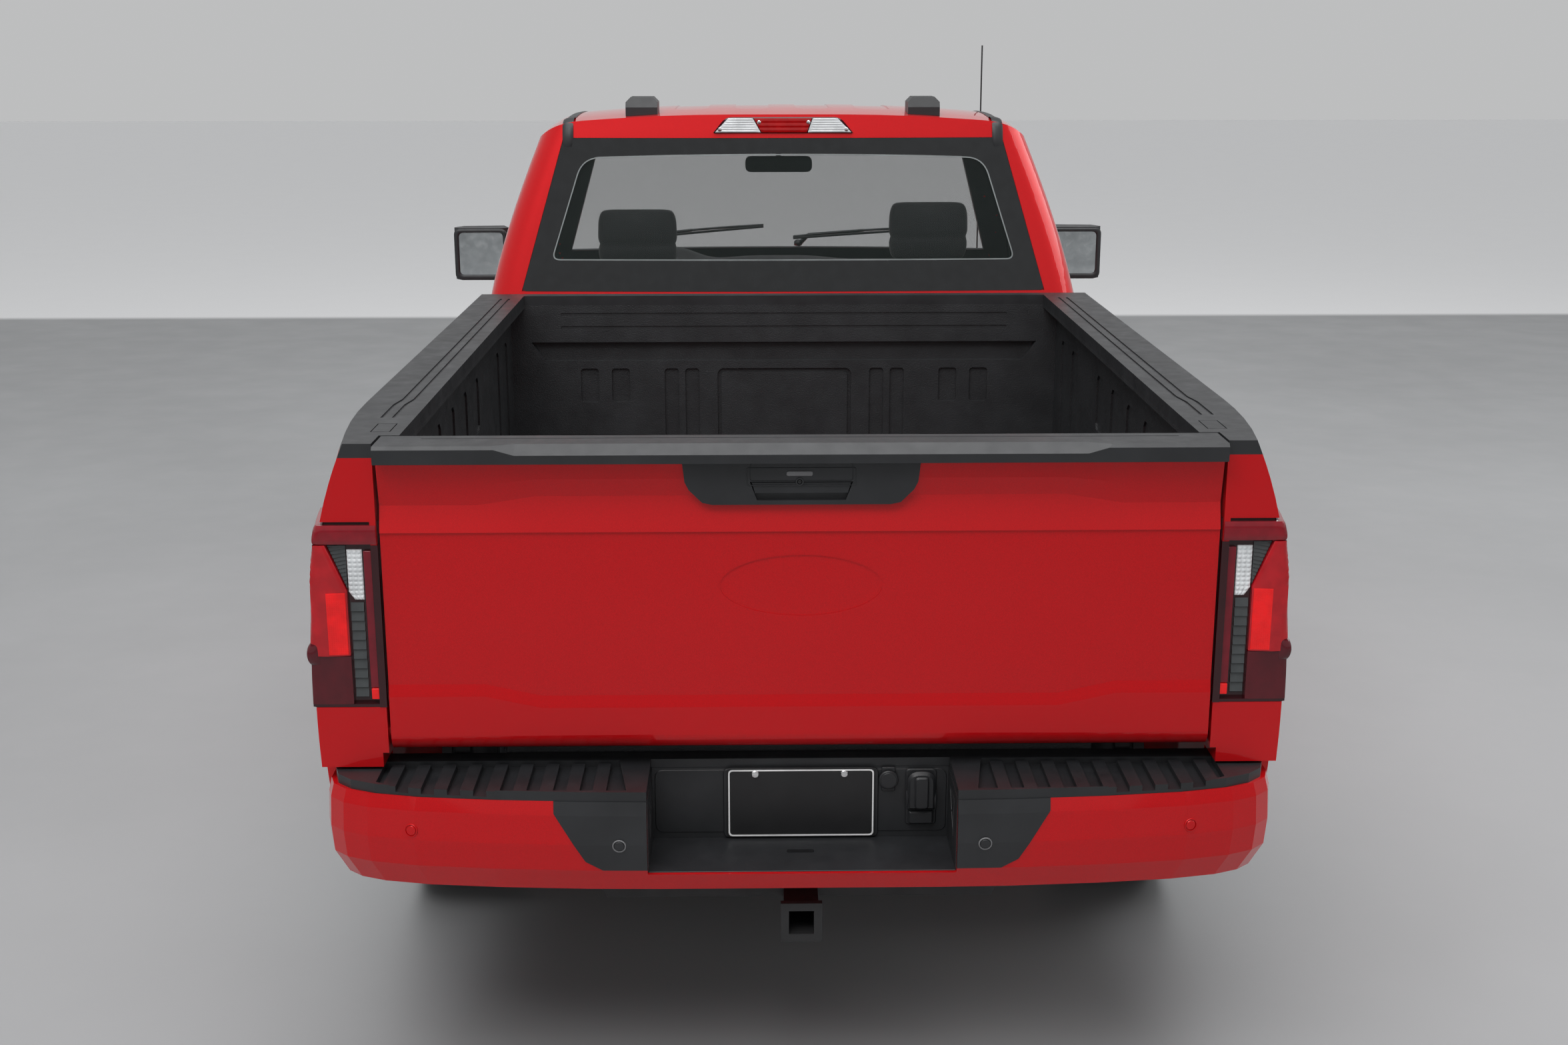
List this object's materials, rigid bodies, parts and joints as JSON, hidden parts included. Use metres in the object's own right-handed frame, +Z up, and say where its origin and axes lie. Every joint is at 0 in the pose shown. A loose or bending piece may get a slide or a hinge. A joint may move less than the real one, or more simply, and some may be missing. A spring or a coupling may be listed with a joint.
{
  "type": "pickup truck",
  "caption": "Full-size regular-cab pickup truck with an open short bed, drop tailgate, rear step bumper and hitch receiver.",
  "frame": {"origin": "on the ground under the middle of the vehicle's length and width, at wheel contact height", "axes": "+X is the truck's right, +Y points forward, +Z is up"},
  "size_m": [2.431, 5.3111, 2.1299],
  "materials": {
    "red_paint": "gloss red metallic paint",
    "black_plastic": "fine-grained black",
    "bed_liner": "satin black moulding",
    "liner_plastic": "matt black",
    "cabin_plastic": "soft matt",
    "lamp_red": "clear red lens",
    "clear_lens": "clear lens",
    "clear_glass": "clear",
    "tinted_glass": "dark tint",
    "frame_black": "satin black",
    "cast_block": "rough",
    "bare_alloy": "satin",
    "bare_steel": "dull",
    "tyre_rubber": "matt",
    "rim_alloy": "satin",
    "seat_fabric": "woven"
  },
  "bodies": {
    "chassis": {"bedsides": "red_paint", "tail_lamps": "lamp_red", "bed_box": "bed_liner", "bed_rail_caps": "black_plastic", "rear_bumper": "red_paint", "step_pads": "black_plastic", "hitch_receiver": "frame_black", "cab_shell": "red_paint", "windshield": "clear_glass", "rear_window": "tinted_glass", "front_fenders": "red_paint", "headlamps": "clear_lens", "grille": "black_plastic", "front_bumper": "red_paint", "arch_liners": "liner_plastic", "front_suspension": "frame_black", "ladder_frame": "frame_black", "engine_block": "cast_block", "gearbox": "bare_alloy", "driveshaft": "bare_steel", "rear_axle": "frame_black", "exhaust": "bare_steel", "fuel_tank": "liner_plastic", "spare_wheel": "tyre_rubber", "seats": "seat_fabric", "dashboard": "cabin_plastic", "radiator": "bare_alloy", "high_stop_lamp": "lamp_red", "antenna": "black_plastic", "roof_pods": "black_plastic"},
    "door_left_body": {"door_left": "red_paint", "door_glass_left": "tinted_glass", "mirror_left": "black_plastic"},
    "door_right_body": {"door_right": "red_paint", "door_glass_right": "tinted_glass", "mirror_right": "black_plastic"},
    "hood_body": {"hood": "red_paint"},
    "tailgate_body": {"tailgate_panel": "red_paint", "tailgate_trim": "black_plastic"},
    "steering_wheel_body": {"steering_wheel": "cabin_plastic"},
    "knuckle_left_body": {"knuckle_left": "cast_block"},
    "knuckle_right_body": {"knuckle_right": "cast_block"},
    "wheel_front_left": {"tyre_front_left": "tyre_rubber", "rim_front_left": "rim_alloy"},
    "wheel_front_right": {"tyre_front_right": "tyre_rubber", "rim_front_right": "rim_alloy"},
    "wheel_rear_left": {"tyre_rear_left": "tyre_rubber", "rim_rear_left": "rim_alloy"},
    "wheel_rear_right": {"tyre_rear_right": "tyre_rubber", "rim_rear_right": "rim_alloy"}
  },
  "joints": [
    {"name": "door_left_swing", "type": "hinge", "parent": "chassis", "child": "door_left_body", "pos_m": [-0.9998, 1.095, 0.73], "axis": [0, 0, -1], "range_deg": [0, 65]},
    {"name": "door_right_swing", "type": "hinge", "parent": "chassis", "child": "door_right_body", "pos_m": [0.9998, 1.095, 0.73], "axis": [0, 0, 1], "range_deg": [0, 65]},
    {"name": "hood_lift", "type": "hinge", "parent": "chassis", "child": "hood_body", "pos_m": [0, 1.252, 1.336], "axis": [1, 0, 0], "range_deg": [0, 50]},
    {"name": "tailgate_drop", "type": "hinge", "parent": "chassis", "child": "tailgate_body", "pos_m": [0, -2.485, 0.806], "axis": [1, 0, 0], "range_deg": [0, 90]},
    {"name": "steer_left", "type": "hinge", "parent": "chassis", "child": "knuckle_left_body", "pos_m": [-0.785, 1.701, 0.405], "axis": [0, 0, 1], "range_deg": [-32, 32]},
    {"name": "steer_right", "type": "hinge", "parent": "chassis", "child": "knuckle_right_body", "pos_m": [0.785, 1.701, 0.405], "axis": [0, 0, 1], "range_deg": [-32, 32]},
    {"name": "steering_wheel_turn", "type": "hinge", "parent": "chassis", "child": "steering_wheel_body", "pos_m": [-0.455, 0.576, 1.1545], "axis": [0, -0.9135, 0.4067], "range_deg": [-450, 450]},
    {"name": "wheel_front_left_spin", "type": "hinge", "parent": "knuckle_left_body", "child": "wheel_front_left", "pos_m": [-0.86, 1.701, 0.405], "axis": [1, 0, 0], "continuous": true},
    {"name": "wheel_front_right_spin", "type": "hinge", "parent": "knuckle_right_body", "child": "wheel_front_right", "pos_m": [0.86, 1.701, 0.405], "axis": [1, 0, 0], "continuous": true},
    {"name": "wheel_rear_left_spin", "type": "hinge", "parent": "chassis", "child": "wheel_rear_left", "pos_m": [-0.86, -1.418, 0.405], "axis": [1, 0, 0], "continuous": true},
    {"name": "wheel_rear_right_spin", "type": "hinge", "parent": "chassis", "child": "wheel_rear_right", "pos_m": [0.86, -1.418, 0.405], "axis": [1, 0, 0], "continuous": true}
  ],
  "couplings": [
    {"joint": "steer_right", "follows": "steer_left", "ratio": 1},
    {"joint": "steering_wheel_turn", "follows": "steer_left", "ratio": 14}
  ]
}
